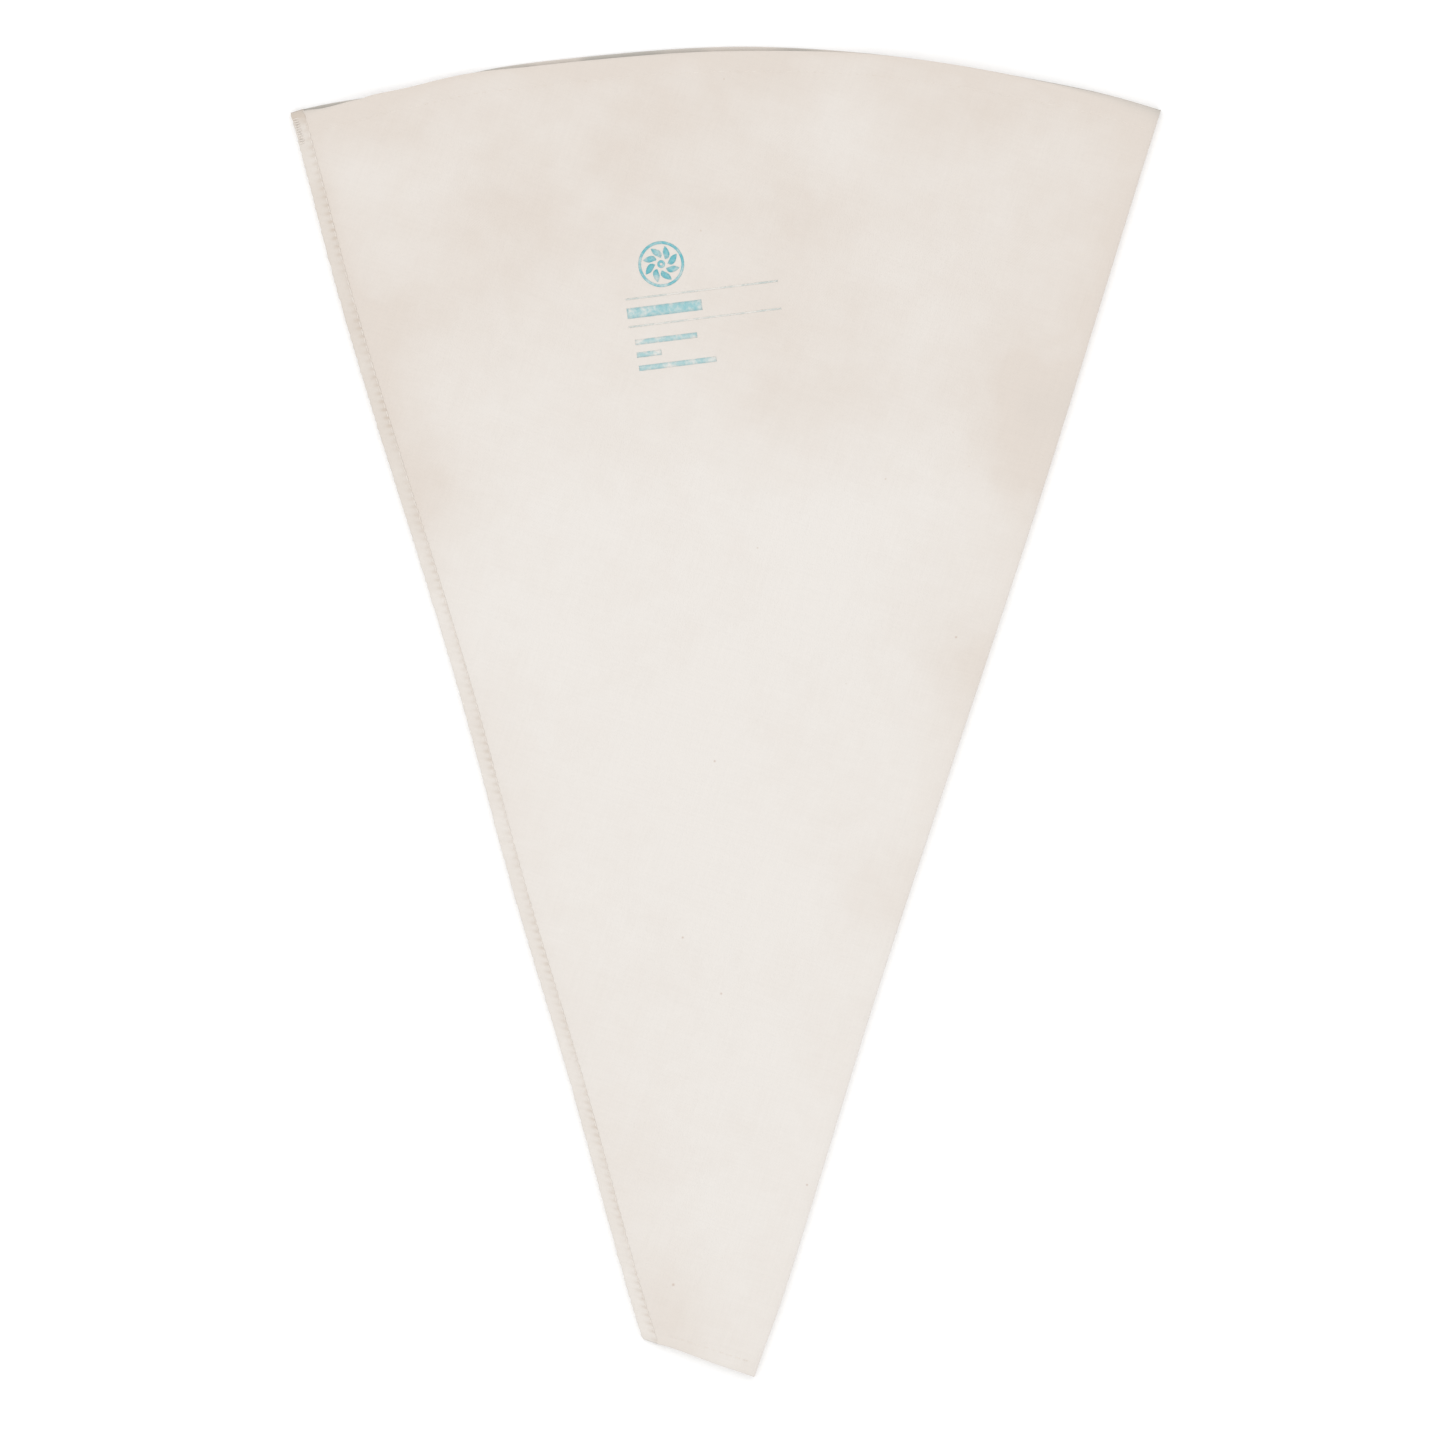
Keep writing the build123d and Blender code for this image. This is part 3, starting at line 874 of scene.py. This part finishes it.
def ink_material(name, ink_color):
    """Ink soaked into the weave, thinner in patches where the cloth shows."""
    graph = Graph(name)
    uv = graph.node("ShaderNodeUVMap", uv_map="cloth").outputs[0]
    cells = weave(graph, uv)
    patches = graph.noise(uv, 210.0, 4.0, 0.65)
    fine = graph.noise(uv, 900.0, 2.0, 0.6)
    bare, specks = graph.span(patches, 0.42, 0.68, 0.0, 0.5), graph.span(fine, 0.4, 0.7, 0.0, 0.22)
    thin = graph.math("ADD", graph.math("ADD", bare, specks), graph.math("MULTIPLY", cells, -0.06))
    faded = graph.node("ShaderNodeAttribute", attribute_name="tone").outputs["Fac"]
    thin = graph.node("ShaderNodeClamp", {"Value": graph.math("ADD", thin, faded)}).outputs[0]
    color = graph.mix(thin, ink_color, (0.74, 0.71, 0.665, 1))
    return graph.finish(color, cells, 0.25, 0.0001, Roughness=0.9, Specular_IOR_Level=0.15)


# ================================================================ floor, light and camera
def build_stage():
    graph = Graph("pale_floor")
    where = graph.node("ShaderNodeNewGeometry").outputs["Position"]
    color = graph.mix(graph.noise(where, 3.0), (0.99, 0.99, 0.99, 1), (0.98, 0.98, 0.98, 1))
    grain = graph.noise(where, 40.0)
    material = graph.finish(color, grain, 0.02, 0.001, Roughness=0.9, Specular_IOR_Level=0.1)
    mesh = bpy.data.meshes.new("floor")
    size, low = 4.0, -0.0003                      # metres: half the floor's side, and just under the bag
    corners = [(-size, -size, low), (size, -size, low), (size, size, low), (-size, size, low)]
    mesh.from_pydata(corners, [], [(0, 1, 2, 3)])
    mesh.materials.append(material)
    floor = bpy.data.objects.new("floor", mesh)
    bpy.context.scene.collection.objects.link(floor)

    world = bpy.data.worlds.new("soft_studio")
    world.use_nodes = True
    background = world.node_tree.nodes["Background"]
    background.inputs[0].default_value = (1.0, 1.0, 1.0, 1)
    background.inputs[1].default_value = 0.98
    bpy.context.scene.world = world

    for name, place, size, power in (("key", (-0.7, 0.6, 1.9), 1.6, 7), ("fill", (1.0, -0.7, 2.0), 1.8, 4)):
        data = bpy.data.lights.new(name, "AREA")
        data.shape, data.size, data.energy = "SQUARE", size, power
        lamp = bpy.data.objects.new(name, data)
        lamp.location = place
        aim = -lamp.location
        lamp.rotation_euler = aim.to_track_quat("-Z", "Y").to_euler()
        bpy.context.scene.collection.objects.link(lamp)
    bpy.context.scene.view_settings.view_transform = "Standard"


def build_camera():
    """Straight above the bag, which leans a little to the right in the picture."""
    data = bpy.data.cameras.new("camera")
    data.sensor_width, data.lens = 36.0, 162.8
    camera = bpy.data.objects.new("camera", data)
    camera.location = (0.0018, -0.0032, 2.0)
    camera.rotation_euler = (0, 0, math.radians(0.815))
    bpy.context.scene.collection.objects.link(camera)
    bpy.context.scene.camera = camera


# ================================================================ put together
def bend_at_crease(piece):
    """Bakes the piece's transform into its mesh; it does not bend the piece."""
    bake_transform(piece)


def nodes_of(side, *kinds):
    return [f"{kind}_{side}_{half}" for kind in kinds for half in ("left", "right")]


canvas = canvas_material("cotton_canvas", (0.773, 0.737, 0.698, 1), (0.70, 0.636, 0.578, 1))
seam_canvas = canvas_material("cotton_canvas_turned", (0.765, 0.725, 0.682, 1), (0.61, 0.535, 0.465, 1))
thread = thread_material()
inks = {"printed_mark": ink_material("soaked_ink", (0.14, 0.46, 0.515, 1)),
        "printed_rules": ink_material("worn_ink", (0.25, 0.40, 0.40, 1))}

front = build_canvas("front", canvas)
back = build_canvas("back", canvas)
lips = {side: build_fold_lip(side, canvas) for side in ("front", "back")}
sewn_side = build_seam(seam_canvas)
marks = [build_ink(name, shapes, inks[name]) for name, shapes in mark_shapes().items()]
seam_top = seam_stitches("seam_stitches_top", True, thread)
seam_under = seam_stitches("seam_stitches_under", False, thread)
backtack = build_backtack(thread)

for side, piece in (("front", front), ("back", back)):
    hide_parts(f"{side}_left_panel", f"{side}_right_panel", *nodes_of(side, "mouth_hem", "tip_hem"))
    bend_at_crease(piece)
    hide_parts(f"side_fold_{side}")
    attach(lips[side], f"{side}_right")
hem_thread = {"front": [], "back": []}
for side in hem_thread:
    for edge in ("mouth", "tip"):
        row = hem_stitches(f"{edge}_stitches_{side}", side, edge, thread)
        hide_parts(*nodes_of(side, f"{edge}_thread"))
        bend_at_crease(row)
        hem_thread[side].append(row)
for mark in marks:
    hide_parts("printed_mark_left", "printed_mark_right")
    bend_at_crease(mark)
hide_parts("seam_edge_front", "seam_allowance_front", "seam_allowance_back")
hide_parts("seam_thread_top")
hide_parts("seam_thread_under")
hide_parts("seam_backtack")
for piece in (sewn_side, seam_top, seam_under, backtack):
    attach(piece, "back_left")

build_stage()
build_camera()
